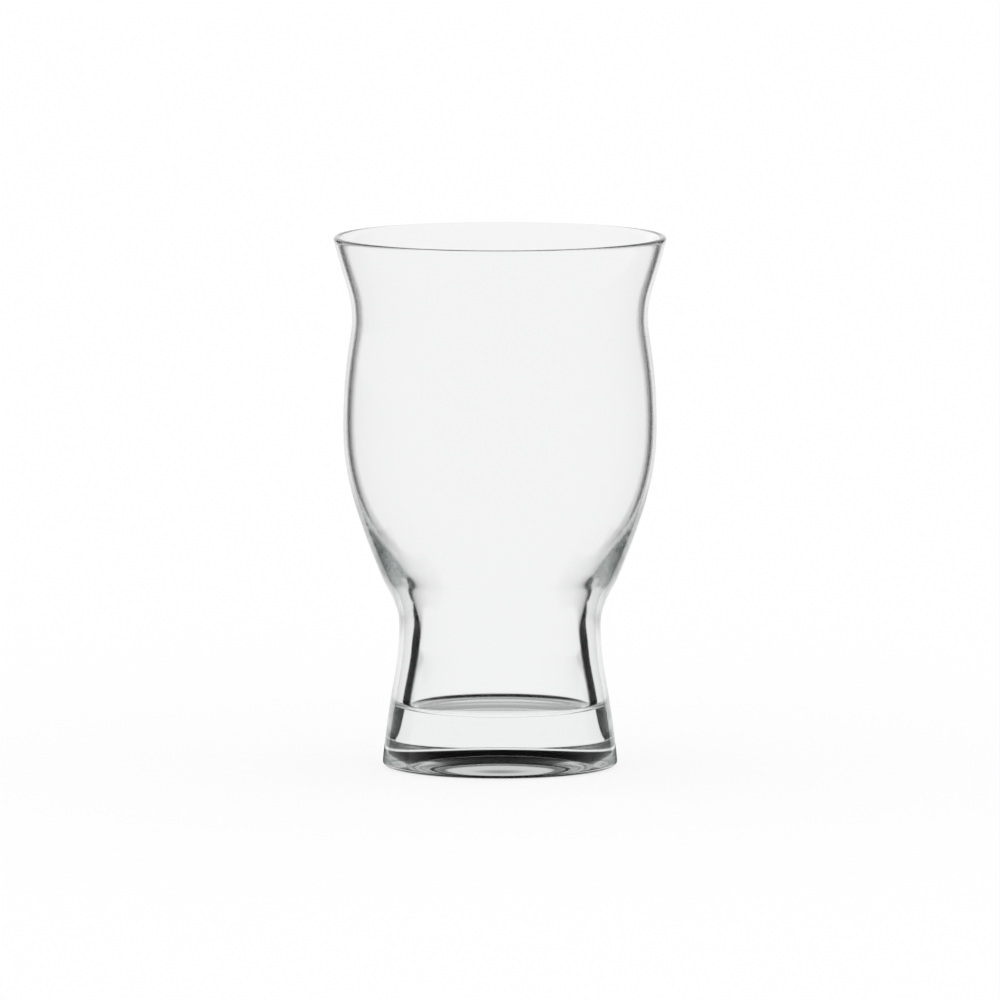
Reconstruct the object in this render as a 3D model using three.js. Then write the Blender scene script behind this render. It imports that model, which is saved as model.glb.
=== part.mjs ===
// Stackable beer glass: one piece of clear soda-lime glass, in millimetres with +Z up.
// It is a body of revolution about Z and stands on z = 0. Its outline waves in and out on the way up:
// foot, waist, shoulder, belly, neck and flared rim. Inside, the wall thickens below the belly into a sloping
// ledge, which catches the foot of the next glass in a stack, above a narrower chamber and a thick base.

import * as THREE from 'three';

// Outside radii at the places where the outline turns
const RIM_RADIUS = 44.4;
const NECK_RADIUS = 39.5;
const BELLY_RADIUS = 41.9;
const SHOULDER_RADIUS = 31.5;
const WAIST_RADIUS = 26.95;
const FOOT_RADIUS = 31.4;

// Heights of the bands between those places, from the standing plane to the widest point of the rim
const FOOT_TO_WAIST = 38.6;
const WAIST_TO_SHOULDER = 12;
const SHOULDER_TO_BELLY = 40.9;
const BELLY_TO_NECK = 28.3;
const NECK_TO_RIM = 21.4;

// Thickness of the glass, measured level across the wall, and of the solid base
const LIP_THICKNESS = 1.7;
const NECK_WALL = 1.5;
const BELLY_WALL = 1.65;
const LEDGE_WALL = 3.9;
const CHAMBER_WALL = 5.4;
const HEEL_WALL = 5.2;
const BASE_THICKNESS = 15.4;

// Places of the ledge and of the chamber's narrowest point, from the height of the waist
const LEDGE_ABOVE_WAIST = 16.1;
const CHAMBER_BELOW_WAIST = 3.8;

// Lean of the wall from upright, in degrees. The rim, shoulder and ledge open upwards, and the foot and the
// chamber downwards.
const RIM_FLARE = 14.2;
const SHOULDER_SLOPE = 22.4;
const LEDGE_SLOPE = 31;
const FOOT_FLARE = 5.8;
const CHAMBER_FLARE = 8;

// Rounded corners, and the standing ring round the hollowed underside
const HEEL_RADIUS = 1.4;
const FLOOR_CORNER_RADIUS = 1.6;
const STANDING_RING_WIDTH = 4.6;
const PUNT_DEPTH = 4.2;

// How far each place holds its direction, as a share of the height of the band above or below it
const RIM_REACH = 0.65;
const NECK_REACH_UP = 0.33;
const NECK_REACH_DOWN = 0.16;
const BELLY_REACH_UP = 0.58;
const BELLY_REACH_DOWN = 0.31;
const SHOULDER_REACH_UP = 0.49;
const SHOULDER_REACH_DOWN = 0.23;
const WAIST_REACH_UP = 0.42;
const WAIST_REACH_DOWN = 0.37;
const FOOT_REACH = 0.65;
const BOWL_REACH_DOWN = 0.46;
const LEDGE_REACH_UP = 0.26;
const LEDGE_REACH_DOWN = 0.37;
const CHAMBER_REACH_UP = 0.5;
const CHAMBER_REACH_DOWN = 0.24;
const FLOOR_REACH = 0.29;

// Facets round the axis, and steps along each curve of the outline
const FACETS_ROUND = 48;
const STEPS = { shoulder: 10, waist: 6, band: 8, neck: 7, chamber: 6, corner: 4, lip: 8, punt: 6 };

// Clear glass with a trace of green
const GLASS_COLOUR = 0xf4f7f6;
const GLASS_ROUGHNESS = 0.02;
const GLASS_OPACITY = 0.35;

const QUARTER_TURN = Math.PI / 2;
const waistHeight = FOOT_TO_WAIST;
const shoulderHeight = waistHeight + WAIST_TO_SHOULDER;
const bellyHeight = shoulderHeight + SHOULDER_TO_BELLY;
const neckHeight = bellyHeight + BELLY_TO_NECK;
const rimHeight = neckHeight + NECK_TO_RIM;

// A place on the wall: its radius and height, and its lean outwards going up, in degrees
function place(radius, height, lean = 0) {
  return { point: new THREE.Vector2(radius, height), lean: THREE.MathUtils.degToRad(lean) };
}

// Point reached by going up the wall from a place, or down it where the distance is negative
function along(from, distance) {
  const rise = new THREE.Vector2(Math.sin(from.lean), Math.cos(from.lean));
  return from.point.clone().addScaledVector(rise, distance);
}

// Smooth stretch of wall from a lower place to an upper one
function wall(lower, upper, lowerReach, upperReach) {
  const band = upper.point.y - lower.point.y;
  const lowerHandle = along(lower, lowerReach * band);
  const upperHandle = along(upper, -upperReach * band);
  return new THREE.CubicBezierCurve(lower.point, lowerHandle, upperHandle, upper.point);
}

// Round stretch of outline about a centre, between two angles
function round(centre, radius, startAngle, endAngle) {
  return new THREE.EllipseCurve(centre.x, centre.y, radius, radius, startAngle, endAngle, endAngle < startAngle);
}

// Radius of a rising stretch of wall at a height, found by halving
function radiusAt(curve, height) {
  const halvings = 40;
  let low = 0;
  let high = 1;
  for (let i = 0; i < halvings; i += 1) {
    const middle = (low + high) / 2;
    if (curve.getPoint(middle).y < height) low = middle;
    else high = middle;
  }
  return curve.getPoint(low).x;
}

// Outline as points: each stretch adds its own steps and leaves out its first point, which the last one gave
function outline(stretches) {
  const points = [stretches[0].curve.getPoint(0)];
  for (const { curve, steps } of stretches) points.push(...curve.getPoints(steps).slice(1));
  return points;
}

// Outside wall, from the rounded heel up to the rim
function outsideWall() {
  const heelCentre = new THREE.Vector2(FOOT_RADIUS - HEEL_RADIUS, HEEL_RADIUS);
  const heelEnd = THREE.MathUtils.degToRad(FOOT_FLARE);
  const heel = round(heelCentre, HEEL_RADIUS, -QUARTER_TURN, heelEnd);
  const heelTop = heel.getPoint(1);
  const foot = place(heelTop.x, heelTop.y, -FOOT_FLARE);
  const waist = place(WAIST_RADIUS, waistHeight);
  const shoulder = place(SHOULDER_RADIUS, shoulderHeight, SHOULDER_SLOPE);
  const belly = place(BELLY_RADIUS, bellyHeight);
  const neck = place(NECK_RADIUS, neckHeight);
  const rim = place(RIM_RADIUS, rimHeight, RIM_FLARE);
  return {
    heel,
    lower: wall(foot, waist, FOOT_REACH, WAIST_REACH_DOWN),
    waist: wall(waist, shoulder, WAIST_REACH_UP, SHOULDER_REACH_DOWN),
    shoulder: wall(shoulder, belly, SHOULDER_REACH_UP, BELLY_REACH_DOWN),
    bowl: wall(belly, neck, BELLY_REACH_UP, NECK_REACH_DOWN),
    flare: wall(neck, rim, NECK_REACH_UP, RIM_REACH),
  };
}

// Rounded lip over the top of the rim, from its outer side to its inner side
function lip() {
  const lean = THREE.MathUtils.degToRad(RIM_FLARE);
  const lipRadius = LIP_THICKNESS / 2;
  const inward = new THREE.Vector2(-Math.cos(lean), Math.sin(lean));
  const centre = new THREE.Vector2(RIM_RADIUS, rimHeight).addScaledVector(inward, lipRadius);
  return round(centre, lipRadius, -lean, Math.PI - lean);
}

// Inside wall, from the floor's corner up to the lip, set off from the outside by the wall's thickness
function insideWall(outside, lipEnd) {
  const cornerHeight = BASE_THICKNESS + FLOOR_CORNER_RADIUS;
  const heelRadius = radiusAt(outside.lower, cornerHeight) - HEEL_WALL;
  const cornerCentre = new THREE.Vector2(heelRadius - FLOOR_CORNER_RADIUS, cornerHeight);
  const cornerEnd = THREE.MathUtils.degToRad(CHAMBER_FLARE);
  const corner = round(cornerCentre, FLOOR_CORNER_RADIUS, -QUARTER_TURN, cornerEnd);
  const cornerTop = corner.getPoint(1);
  const ledgeHeight = waistHeight + LEDGE_ABOVE_WAIST;
  const ledgeRadius = radiusAt(outside.shoulder, ledgeHeight) - LEDGE_WALL;
  const floorEdge = place(cornerTop.x, cornerTop.y, -CHAMBER_FLARE);
  const chamber = place(WAIST_RADIUS - CHAMBER_WALL, waistHeight - CHAMBER_BELOW_WAIST);
  const ledge = place(ledgeRadius, ledgeHeight, LEDGE_SLOPE);
  const belly = place(BELLY_RADIUS - BELLY_WALL, bellyHeight);
  const neck = place(NECK_RADIUS - NECK_WALL, neckHeight);
  const mouth = place(lipEnd.x, lipEnd.y, RIM_FLARE);
  return outline([
    { curve: corner, steps: STEPS.corner },
    { curve: wall(floorEdge, chamber, FLOOR_REACH, CHAMBER_REACH_DOWN), steps: STEPS.chamber },
    { curve: wall(chamber, ledge, CHAMBER_REACH_UP, LEDGE_REACH_DOWN), steps: STEPS.band },
    { curve: wall(ledge, belly, LEDGE_REACH_UP, BOWL_REACH_DOWN), steps: STEPS.band },
    { curve: wall(belly, neck, BELLY_REACH_UP, NECK_REACH_DOWN), steps: STEPS.band },
    { curve: wall(neck, mouth, NECK_REACH_UP, RIM_REACH), steps: STEPS.neck },
  ]);
}

// Underside, from the middle of its shallow hollow out to the standing ring
function underside(ringOuter) {
  const ringInner = ringOuter - STANDING_RING_WIDTH;
  const middle = new THREE.Vector2(0, PUNT_DEPTH);
  const crown = new THREE.Vector2(ringInner / 2, PUNT_DEPTH);
  return new THREE.QuadraticBezierCurve(middle, crown, new THREE.Vector2(ringInner, 0));
}

// Whole outline of the cross-section, from the axis under the base round to the axis on the floor
function crossSection() {
  const outside = outsideWall();
  const rimLip = lip();
  const outward = outline([
    { curve: underside(outside.heel.getPoint(0).x), steps: STEPS.punt },
  ]);
  const upward = outline([
    { curve: outside.heel, steps: STEPS.corner },
    { curve: outside.lower, steps: STEPS.band },
    { curve: outside.waist, steps: STEPS.waist },
    { curve: outside.shoulder, steps: STEPS.shoulder },
    { curve: outside.bowl, steps: STEPS.band },
    { curve: outside.flare, steps: STEPS.neck },
    { curve: rimLip, steps: STEPS.lip },
  ]);
  const downward = insideWall(outside, rimLip.getPoint(1)).reverse();
  const floorMiddle = new THREE.Vector2(0, BASE_THICKNESS);
  return [...outward, ...upward, ...downward.slice(1), floorMiddle];
}

// The glass, turned so that the lathe's axis stands upright
function glassBody() {
  const geometry = new THREE.LatheGeometry(crossSection(), FACETS_ROUND);
  geometry.rotateX(QUARTER_TURN);
  const material = new THREE.MeshStandardMaterial({
    color: GLASS_COLOUR,
    roughness: GLASS_ROUGHNESS,
    metalness: 0,
    transparent: true,
    opacity: GLASS_OPACITY,
  });
  const mesh = new THREE.Mesh(geometry, material);
  mesh.name = 'glass_body';
  return mesh;
}

const glass = new THREE.Group();
glass.add(glassBody());

export default glass;
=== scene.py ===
import math

import bpy
import numpy as np
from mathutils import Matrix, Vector


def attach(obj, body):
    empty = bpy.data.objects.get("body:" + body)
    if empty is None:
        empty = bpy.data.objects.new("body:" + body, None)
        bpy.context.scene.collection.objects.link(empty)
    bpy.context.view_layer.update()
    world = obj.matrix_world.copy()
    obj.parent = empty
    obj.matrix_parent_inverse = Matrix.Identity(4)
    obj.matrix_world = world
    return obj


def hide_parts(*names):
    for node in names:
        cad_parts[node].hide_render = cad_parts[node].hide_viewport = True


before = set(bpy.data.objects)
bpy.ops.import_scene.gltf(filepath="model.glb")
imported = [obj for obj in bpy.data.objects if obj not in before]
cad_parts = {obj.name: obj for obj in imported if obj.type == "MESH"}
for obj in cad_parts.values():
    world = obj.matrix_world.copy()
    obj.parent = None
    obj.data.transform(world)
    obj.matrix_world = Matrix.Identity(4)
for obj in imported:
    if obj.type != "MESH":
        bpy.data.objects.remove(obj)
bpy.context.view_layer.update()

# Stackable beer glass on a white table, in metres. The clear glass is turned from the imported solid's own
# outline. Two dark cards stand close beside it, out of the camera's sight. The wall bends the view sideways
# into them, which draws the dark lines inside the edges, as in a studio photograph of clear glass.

# Camera, at the photograph's height angle. The glass is round, so the camera and the cards are turned
# together about it until no card stands straight behind the glass from the front or from either side.
CAMERA_DISTANCE = 4.0
CAMERA_ELEVATION = math.radians(6.0)
CAMERA_TURN = math.radians(225.0)
CAMERA_AIM = Vector((0.0, 0.0, 0.0714))
PICTURE_WIDTH = 0.2674
SENSOR_WIDTH = 36.0
CLIP_END = 50.0

# Bounces, enough for light that runs along inside the wall
MAX_BOUNCES = 40

# Turned glass: facets round the axis and steps between two points of the outline
TURN_FACETS = 240
OUTLINE_STEPS = 6
EVENING_PASSES = 12
PLANE_TOLERANCE = 1e-6
PLACE_DIGITS = 7
STRAIGHT_RATIO = 3.0

# Clear soda-lime glass
GLASS_IOR = 1.52
GLASS_CLEARNESS = (0.989, 0.992, 0.991, 1.0)
GLASS_TINT = (0.82, 0.87, 0.86, 1.0)
GLASS_TINT_DENSITY = 5.0

# Finish of the glass: smears in its roughness, and a faint waviness
SMEAR_SCALE = 90.0
ROUGHNESS_LEAST = 0.04
ROUGHNESS_MOST = 0.07
WAVE_SCALE = 60.0
WAVE_STRENGTH = 0.005
WAVE_HEIGHT = 0.0002

# Fresnel share up to which the glass keeps no faint reflection, and from which it keeps all of it
SHEEN_FROM = 0.08
SHEEN_FULL = 0.5

# White table
FLOOR_HALF = 12.0
FLOOR_DROP = 0.0002
FLOOR_SHADE = 0.98
FLOOR_GLOW = 0.8

# White as it shows from the first turn of the light on, through the glass
WHITE_THROUGH = 0.92
FIRST_TURN = 0.5

# Dark cards beside the glass: how far aside, from where to where behind its axis, and how high
CARD_ASIDE = 0.064
CARD_NEAR = 0.016
CARD_FAR = 0.044
CARD_HEIGHT = 0.150

# Low card in front of each of them, which only the outside of the waist mirrors
LOW_CARD_NEAR = -0.010
LOW_CARD_HEIGHT = 0.048

# Painted shadow on the table along the back of the foot, on both sides of the bright strip straight behind
# it
SHADE_RADIUS = 0.0318
SHADE_START = math.radians(1.0)
SHADE_END = math.radians(108.0)
SHADE_STEPS = 24
SHADE_TIP = 0.0335
SHADE_ASIDE = 0.024
SHADE_BEHIND = 0.052
SHADE_LIFT = 0.0001

# Table strip close behind the foot: white straight through the base, painted shade to light turned inside
# it
STRIP_END = math.radians(80.0)
STRIP_RADIUS = 0.070
STRIP_DROP = 0.00015
STRIP_DEPTH = 2.5

# Light that the glass bends into view: white low down and dark above
DARK = 0.004
WHITE_UP_TO = math.sin(math.radians(5.0))
DARK_FROM = math.sin(math.radians(8.0))

# Light that has run on inside the wall past this many turns has lost its picture: it is an even grey, and
# nearly black, a painted shade, where it ends on the shade or the strip close to the foot. From high up it
# is dimmer.
STRAY_DEPTH = 4.5
STRAY = 0.65
PAINTED_SHADE_STRAY = 0.05
DIM_STRAY = 0.15
STRAY_UP_TO = math.sin(math.radians(20.0))
DIM_STRAY_FROM = math.sin(math.radians(40.0))

# Light that the glass mirrors: a large soft lamp on the left, and dimmer room on the right
MIRRORED_LEFT = 1.3
MIRRORED_RIGHT = 0.8


def outline_of(node):
    """Outline of the solid as (radius, height), from the axis under the base to the axis on the floor."""
    mesh = node.data
    places = {}
    for vertex in mesh.vertices:
        if abs(vertex.co.y) < PLANE_TOLERANCE and vertex.co.x > -PLANE_TOLERANCE:
            radius = round(max(vertex.co.x, 0.0), PLACE_DIGITS)
            places[vertex.index] = (radius, round(vertex.co.z, PLACE_DIGITS))
    neighbours = {}
    for edge in mesh.edges:
        first, second = (places.get(index) for index in edge.vertices)
        if first and second and first != second:
            neighbours.setdefault(first, set()).add(second)
            neighbours.setdefault(second, set()).add(first)
    here = min((place for place in neighbours if place[0] == 0.0), key=lambda place: place[1])
    path = [here]
    while True:
        ahead = [place for place in neighbours[here] if place not in path[-2:]]
        if not ahead:
            return np.array(path)
        here = ahead[0]
        path.append(here)


def tangents_of(points):
    """Direction of the outline at each point. Beside a much longer stretch it is that stretch's own."""
    chords = np.diff(points, axis=0)
    lengths = np.linalg.norm(chords, axis=1)
    directions = chords / lengths[:, None]
    tangents = np.empty_like(points)
    tangents[0] = tangents[-1] = (1.0, 0.0)
    tangents[-1] *= -1.0
    for i in range(1, len(points) - 1):
        before, after = lengths[i - 1], lengths[i]
        if before > STRAIGHT_RATIO * after:
            tangents[i] = directions[i - 1]
        elif after > STRAIGHT_RATIO * before:
            tangents[i] = directions[i]
        else:
            tangents[i] = (directions[i - 1] * after + directions[i] * before) / (before + after)
    return tangents


def smoothed(points, steps):
    """The outline with more points: a smooth curve through those of the solid."""
    tangents = tangents_of(points)
    curve = [points[0]]
    for i in range(len(points) - 1):
        start, end = points[i], points[i + 1]
        length = np.linalg.norm(end - start)
        for step in range(1, steps + 1):
            t = step / steps
            blend = t * t * (3.0 - 2.0 * t)
            leaving = t * (1.0 - t) ** 2 * length * tangents[i]
            arriving = t * t * (t - 1.0) * length * tangents[i + 1]
            curve.append(start * (1.0 - blend) + end * blend + leaving + arriving)
    curve = np.array(curve)
    for _ in range(EVENING_PASSES):
        curve[1:-1] = (curve[:-2] + 2.0 * curve[1:-1] + curve[2:]) / 4.0
    curve[:, 1] = np.maximum(curve[:, 1], points[:, 1].min())
    return curve


def turned(name, outline, facets):
    """Closed mesh made by turning an outline, which starts and ends on the axis, about Z."""
    angles = np.arange(facets) * 2.0 * math.pi / facets
    rings = outline[1:-1]
    ring_points = np.empty((len(rings), facets, 3))
    ring_points[..., 0] = rings[:, :1] * np.cos(angles)
    ring_points[..., 1] = rings[:, :1] * np.sin(angles)
    ring_points[..., 2] = rings[:, 1:]
    bottom, top = (0.0, 0.0, outline[0, 1]), (0.0, 0.0, outline[-1, 1])
    vertices = [*ring_points.reshape(-1, 3).tolist(), bottom, top]
    bottom_index, top_index = len(vertices) - 2, len(vertices) - 1
    last_ring = (len(rings) - 1) * facets
    faces = []
    for j in range(facets):
        k = (j + 1) % facets
        faces.append((bottom_index, k, j))
        faces.append((last_ring + j, last_ring + k, top_index))
        for i in range(len(rings) - 1):
            low, high = i * facets, (i + 1) * facets
            faces.append((low + j, low + k, high + k, high + j))
    mesh = bpy.data.meshes.new(name)
    mesh.from_pydata(vertices, [], faces)
    mesh.shade_smooth()
    return add_object(name, mesh)


def add_object(name, data):
    """Object added to the scene."""
    made = bpy.data.objects.new(name, data)
    bpy.context.scene.collection.objects.link(made)
    return made


def new_material(name):
    """Empty node material, with its node tree and output."""
    material = bpy.data.materials.new(name)
    material.use_nodes = True
    tree = material.node_tree
    tree.nodes.clear()
    return material, tree, tree.nodes.new("ShaderNodeOutputMaterial")


def glass_material():
    """Clear pressed glass: a faint waviness left by the mould, and a trace of green where it is thick."""
    material, tree, output = new_material("clear_glass")
    nodes, links = tree.nodes, tree.links
    shader = nodes.new("ShaderNodeBsdfPrincipled")
    shader.inputs["Base Color"].default_value = GLASS_CLEARNESS
    shader.inputs["Transmission Weight"].default_value = 1.0
    shader.inputs["IOR"].default_value = GLASS_IOR
    place = nodes.new("ShaderNodeTexCoord")
    smears = nodes.new("ShaderNodeTexNoise")
    smears.inputs["Scale"].default_value = SMEAR_SCALE
    finish = nodes.new("ShaderNodeMapRange")
    finish.inputs["To Min"].default_value = ROUGHNESS_LEAST
    finish.inputs["To Max"].default_value = ROUGHNESS_MOST
    links.new(place.outputs["Object"], smears.inputs["Vector"])
    links.new(smears.outputs["Fac"], finish.inputs["Value"])
    links.new(finish.outputs["Result"], shader.inputs["Roughness"])
    waves = nodes.new("ShaderNodeTexNoise")
    waves.inputs["Scale"].default_value = WAVE_SCALE
    bump = nodes.new("ShaderNodeBump")
    bump.inputs["Strength"].default_value = WAVE_STRENGTH
    bump.inputs["Distance"].default_value = WAVE_HEIGHT
    links.new(place.outputs["Object"], waves.inputs["Vector"])
    links.new(waves.outputs["Fac"], bump.inputs["Height"])
    links.new(bump.outputs["Normal"], shader.inputs["Normal"])
    mirroring = nodes.new("ShaderNodeFresnel")
    mirroring.inputs["IOR"].default_value = GLASS_IOR
    sheen = nodes.new("ShaderNodeMapRange")
    sheen.inputs["From Min"].default_value = SHEEN_FROM
    sheen.inputs["From Max"].default_value = SHEEN_FULL
    links.new(mirroring.outputs["Fac"], sheen.inputs["Value"])
    links.new(sheen.outputs["Result"], shader.inputs["Specular Tint"])
    depth = nodes.new("ShaderNodeVolumeAbsorption")
    depth.inputs["Color"].default_value = GLASS_TINT
    depth.inputs["Density"].default_value = GLASS_TINT_DENSITY
    links.new(shader.outputs["BSDF"], output.inputs["Surface"])
    links.new(depth.outputs["Volume"], output.inputs["Volume"])
    return material


def after_turns(tree, turns, value, later):
    """A strength that gives way to another where light has turned more often. Both are linked or fixed."""
    path = tree.nodes.new("ShaderNodeLightPath")
    late = tree.nodes.new("ShaderNodeMath")
    late.operation = "GREATER_THAN"
    late.inputs[1].default_value = turns
    mix = tree.nodes.new("ShaderNodeMix")
    tree.links.new(path.outputs["Ray Depth"], late.inputs[0])
    tree.links.new(late.outputs["Value"], mix.inputs["Factor"])
    for socket, strength in (("A", value), ("B", later)):
        if isinstance(strength, float):
            mix.inputs[socket].default_value = strength
        else:
            tree.links.new(strength, mix.inputs[socket])
    return mix.outputs["Result"]


def with_stray(tree, value, stray):
    """A strength that turns to an even one where the light has run on inside the wall."""
    return after_turns(tree, STRAY_DEPTH, value, stray)


def card_material(name, first, stray):
    """Flat card with one brightness to light straight through the base, and black to light turned more."""
    material, tree, output = new_material(name)
    glow = tree.nodes.new("ShaderNodeEmission")
    # On the strip and the shades this black to light turned more is painted shade; on the standing cards it
    # is their own black
    early = after_turns(tree, STRIP_DEPTH, first, DARK)
    tree.links.new(with_stray(tree, early, stray), glow.inputs["Strength"])
    tree.links.new(glow.outputs["Emission"], output.inputs["Surface"])
    return material


def floor_material():
    """White table: it shows white through and in the glass, and to the camera it keeps a soft shadow."""
    material, tree, output = new_material("white_table")
    nodes, links = tree.nodes, tree.links
    paint = nodes.new("ShaderNodeBsdfDiffuse")
    paint.inputs["Color"].default_value = (FLOOR_SHADE, FLOOR_SHADE, FLOOR_SHADE, 1.0)
    glow = nodes.new("ShaderNodeEmission")
    white = after_turns(tree, FIRST_TURN, 1.0, WHITE_THROUGH)
    links.new(with_stray(tree, white, STRAY), glow.inputs["Strength"])
    path = nodes.new("ShaderNodeLightPath")
    camera_share = nodes.new("ShaderNodeMath")
    camera_share.operation = "MULTIPLY"
    camera_share.inputs[1].default_value = FLOOR_GLOW
    through_glass = nodes.new("ShaderNodeMath")
    through_glass.operation = "MAXIMUM"
    share = nodes.new("ShaderNodeMath")
    share.operation = "MAXIMUM"
    mix = nodes.new("ShaderNodeMixShader")
    links.new(path.outputs["Is Camera Ray"], camera_share.inputs[0])
    links.new(path.outputs["Is Glossy Ray"], through_glass.inputs[0])
    links.new(path.outputs["Is Transmission Ray"], through_glass.inputs[1])
    links.new(camera_share.outputs["Value"], share.inputs[0])
    links.new(through_glass.outputs["Value"], share.inputs[1])
    links.new(share.outputs["Value"], mix.inputs["Fac"])
    links.new(paint.outputs["BSDF"], mix.inputs[1])
    links.new(glow.outputs["Emission"], mix.inputs[2])
    links.new(mix.outputs["Shader"], output.inputs["Surface"])
    return material


def in_view(across, behind, height):
    """Point at a distance to the right of the glass and behind it, as the camera looks at it."""
    right = Vector((math.cos(CAMERA_TURN), math.sin(CAMERA_TURN), 0.0))
    away = Vector((-math.sin(CAMERA_TURN), math.cos(CAMERA_TURN), 0.0))
    return right * across + away * behind + Vector((0.0, 0.0, height))


def sheet(name, corners, material):
    """Flat sheet with its corners in order."""
    mesh = bpy.data.meshes.new(name)
    mesh.from_pydata(corners, [], [tuple(range(len(corners)))])
    mesh.materials.append(material)
    return add_object(name, mesh)


def out_of_sight(card):
    """Card that only the glass shows, as one just outside the picture does."""
    card.visible_camera = False
    card.visible_diffuse = False
    card.visible_shadow = False
    return card


def card_corners(side, near, far, height):
    """Corners of a card that stands beside the glass."""
    feet = [in_view(side * CARD_ASIDE, behind, 0.0) for behind in (near, far)]
    tops = [in_view(side * CARD_ASIDE, behind, height) for behind in (far, near)]
    return feet + tops


def shade_corners(side):
    """Corners of the painted shadow on one side: along the foot from straight behind it, then out to the
    card.
    """
    turns = np.linspace(SHADE_START, SHADE_END, SHADE_STEPS)
    along_foot = [(SHADE_RADIUS * math.sin(turn), SHADE_RADIUS * math.cos(turn)) for turn in turns]
    round_card = [(CARD_ASIDE, LOW_CARD_NEAR), (CARD_ASIDE, SHADE_BEHIND), (SHADE_ASIDE, SHADE_BEHIND)]
    tip = [(0.0, SHADE_TIP)]
    return [in_view(side * across, behind, -SHADE_LIFT) for across, behind in along_foot + round_card + tip]


def strip_corners():
    """Corners of the painted-shade table strip behind the foot: along the foot, then back along its outer
    edge.
    """
    turns = np.linspace(-STRIP_END, STRIP_END, SHADE_STEPS)
    inner = [(SHADE_RADIUS * math.sin(turn), SHADE_RADIUS * math.cos(turn)) for turn in turns]
    outer = [(STRIP_RADIUS * math.sin(turn), STRIP_RADIUS * math.cos(turn)) for turn in turns[::-1]]
    return [in_view(across, behind, -STRIP_DROP) for across, behind in inner + outer]


def build_stage():
    """White table and painted-shade strip; each side of the glass a tall card, a low card, a painted
    shadow.
    """
    square = ((-1.0, -1.0), (1.0, -1.0), (1.0, 1.0), (-1.0, 1.0))
    corners = [(x * FLOOR_HALF, y * FLOOR_HALF, -FLOOR_DROP) for x, y in square]
    staged = [sheet("white_table", corners, floor_material())]
    # Strip of painted shade behind the foot, seen only in the glass
    painted_shade_strip = sheet("strip_behind", strip_corners(), card_material("painted_shade_strip", WHITE_THROUGH, PAINTED_SHADE_STRAY))
    staged.append(out_of_sight(painted_shade_strip))
    black = card_material("black_card", DARK, STRAY)
    dark = card_material("painted_table_shadow", DARK, PAINTED_SHADE_STRAY)
    for name, side in (("left", -1.0), ("right", 1.0)):
        tall = card_corners(side, CARD_NEAR, CARD_FAR, CARD_HEIGHT)
        staged.append(out_of_sight(sheet(f"card_{name}", tall, black)))
        low = card_corners(side, LOW_CARD_NEAR, CARD_NEAR, LOW_CARD_HEIGHT)
        low_card = out_of_sight(sheet(f"low_card_{name}", low, black))
        low_card.visible_transmission = False
        staged.append(low_card)
        # Painted shadow on the table, seen only in the glass
        staged.append(out_of_sight(sheet(f"shade_{name}", shade_corners(side), dark)))


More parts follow.
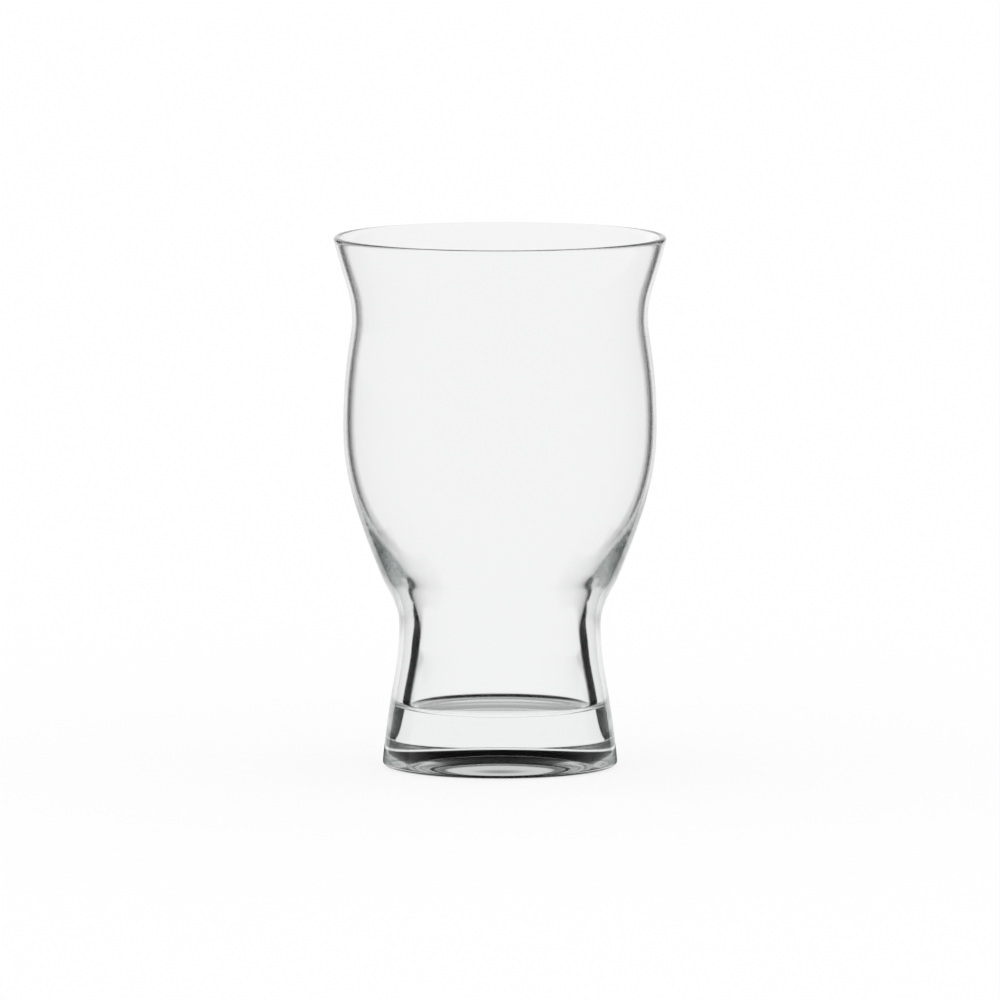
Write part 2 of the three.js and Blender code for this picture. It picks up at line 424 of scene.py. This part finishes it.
def build_world():
    """White to the camera and to the table. In the glass it is white low down and dark above."""
    world = bpy.data.worlds.new("studio")
    world.use_nodes = True
    tree = world.node_tree
    nodes, links = tree.nodes, tree.links
    nodes.clear()
    place = nodes.new("ShaderNodeTexCoord")
    direction = place.outputs["Generated"]
    path = nodes.new("ShaderNodeLightPath")

    def joined(operation, first, second):
        node = nodes.new("ShaderNodeMath")
        node.operation = operation
        links.new(first, node.inputs[0])
        links.new(second, node.inputs[1])
        return node.outputs["Value"]

    def graded(value, start, end, low, high):
        node = nodes.new("ShaderNodeMapRange")
        node.interpolation_type = "SMOOTHSTEP"
        node.inputs["From Min"].default_value = start
        node.inputs["From Max"].default_value = end
        node.inputs["To Min"].default_value = low
        node.inputs["To Max"].default_value = high
        links.new(value, node.inputs["Value"])
        return node.outputs["Result"]

    def towards(centre):
        node = nodes.new("ShaderNodeVectorMath")
        node.operation = "DOT_PRODUCT"
        node.inputs[1].default_value = centre
        links.new(direction, node.inputs[0])
        return node.outputs["Value"]

    bent = graded(towards((0.0, 0.0, 1.0)), WHITE_UP_TO, DARK_FROM, WHITE_THROUGH, DARK)
    mirrored = graded(towards(in_view(-1.0, 0.0, 0.0)), -1.0, 1.0, MIRRORED_RIGHT, MIRRORED_LEFT)
    stray = graded(towards((0.0, 0.0, 1.0)), STRAY_UP_TO, DIM_STRAY_FROM, STRAY, DIM_STRAY)
    in_glass = nodes.new("ShaderNodeMix")
    only_mirrored = joined("SUBTRACT", path.outputs["Is Glossy Ray"], path.outputs["Is Transmission Ray"])
    links.new(only_mirrored, in_glass.inputs["Factor"])
    links.new(bent, in_glass.inputs["A"])
    links.new(mirrored, in_glass.inputs["B"])
    seen = joined("MAXIMUM", path.outputs["Is Camera Ray"], path.outputs["Is Diffuse Ray"])
    sky = nodes.new("ShaderNodeBackground")
    output = nodes.new("ShaderNodeOutputWorld")
    shown = with_stray(tree, in_glass.outputs["Result"], stray)
    links.new(joined("MAXIMUM", shown, seen), sky.inputs["Strength"])
    links.new(sky.outputs["Background"], output.inputs["Surface"])
    sky.inputs["Color"].default_value = (1.0, 1.0, 1.0, 1.0)
    bpy.context.scene.world = world


def build_camera():
    """Long lens at the photograph's angle."""
    data = bpy.data.cameras.new("camera")
    data.sensor_width = SENSOR_WIDTH
    data.lens = SENSOR_WIDTH * CAMERA_DISTANCE / PICTURE_WIDTH
    data.clip_end = CLIP_END
    camera = add_object("camera", data)
    back = in_view(0.0, -math.cos(CAMERA_ELEVATION), math.sin(CAMERA_ELEVATION))
    camera.location = CAMERA_AIM + back * CAMERA_DISTANCE
    camera.rotation_mode = "QUATERNION"
    camera.rotation_quaternion = (-back).to_track_quat("-Z", "Y")
    bpy.context.scene.camera = camera


def set_rendering():
    """Plain colours and many bounces."""
    scene = bpy.context.scene
    scene.view_settings.view_transform = "Standard"
    scene.cycles.max_bounces = MAX_BOUNCES
    scene.cycles.transmission_bounces = MAX_BOUNCES
    scene.cycles.glossy_bounces = MAX_BOUNCES


def build_glass():
    """The glass itself."""
    outline = smoothed(outline_of(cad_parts["glass_body"]), OUTLINE_STEPS)
    glass = turned("clear_glass_body", outline, TURN_FACETS)
    glass.data.materials.append(glass_material())
    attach(glass, "root")
    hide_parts("glass_body")


build_glass()
build_stage()
build_world()
build_camera()
set_rendering()
